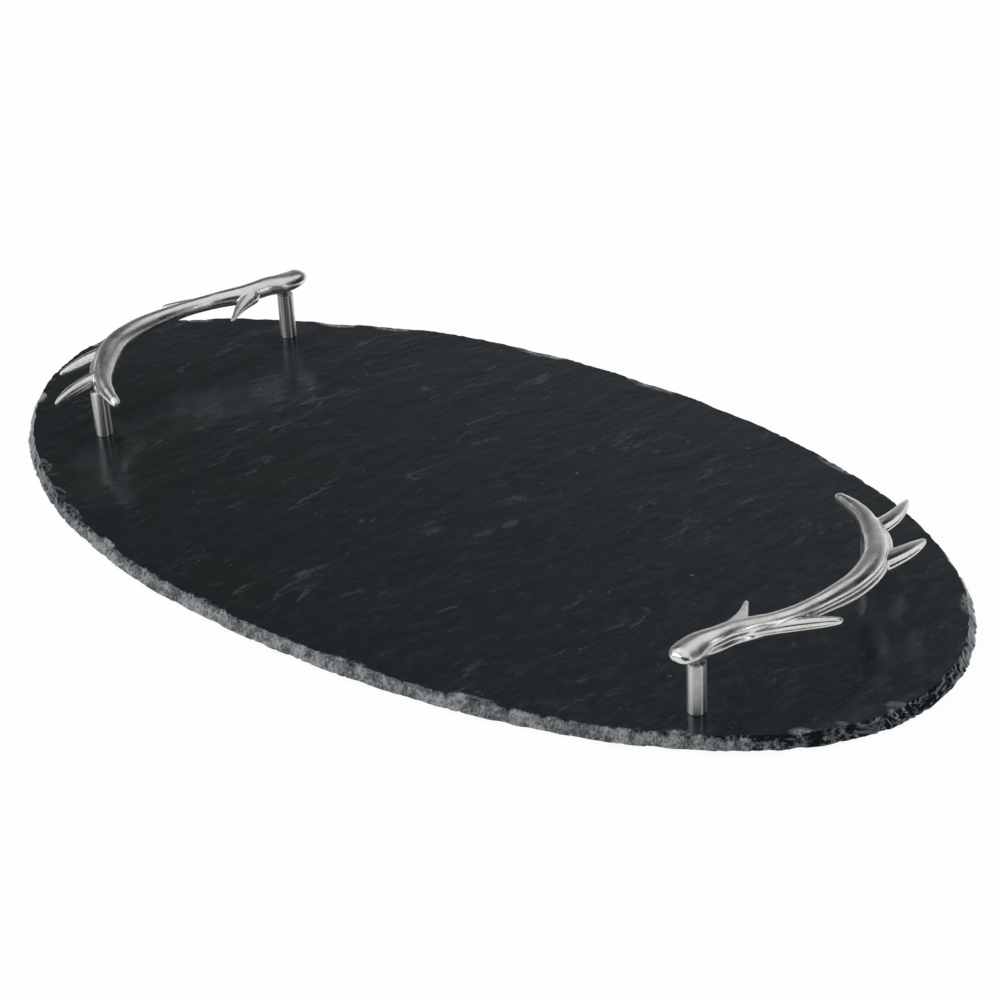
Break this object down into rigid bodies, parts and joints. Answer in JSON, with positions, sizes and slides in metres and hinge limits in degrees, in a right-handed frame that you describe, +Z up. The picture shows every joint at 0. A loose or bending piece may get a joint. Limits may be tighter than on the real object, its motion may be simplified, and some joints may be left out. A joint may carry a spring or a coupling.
{
  "type": "slate serving board",
  "caption": "Oval slate serving board with a chipped rim, cast antler-shaped carrying handles raised on round posts, screws from below and soft feet.",
  "frame": {"origin": "on the surface that the board stands on, below the middle of the slate's outline", "axes": "+X along the board towards the handle on the right of the picture, +Y across it towards the rear, +Z up"},
  "size_m": [0.5, 0.269, 0.0417],
  "materials": {
    "slate": "satin",
    "cast_metal": "polished",
    "post_metal": "polished",
    "screw_steel": "satin",
    "foot_rubber": "matte"
  },
  "bodies": {
    "root": {"slate_board": "slate", "antler_left": "cast_metal", "antler_right": "cast_metal", "post_left_front": "post_metal", "post_left_rear": "post_metal", "post_right_front": "post_metal", "post_right_rear": "post_metal", "screw_left_front": "screw_steel", "screw_left_rear": "screw_steel", "screw_right_front": "screw_steel", "screw_right_rear": "screw_steel", "washer_left_front": "screw_steel", "washer_left_rear": "screw_steel", "washer_right_front": "screw_steel", "washer_right_rear": "screw_steel", "foot_left_front": "foot_rubber", "foot_left_rear": "foot_rubber", "foot_middle_front": "foot_rubber", "foot_middle_rear": "foot_rubber", "foot_right_front": "foot_rubber", "foot_right_rear": "foot_rubber"}
  },
  "joints": []
}
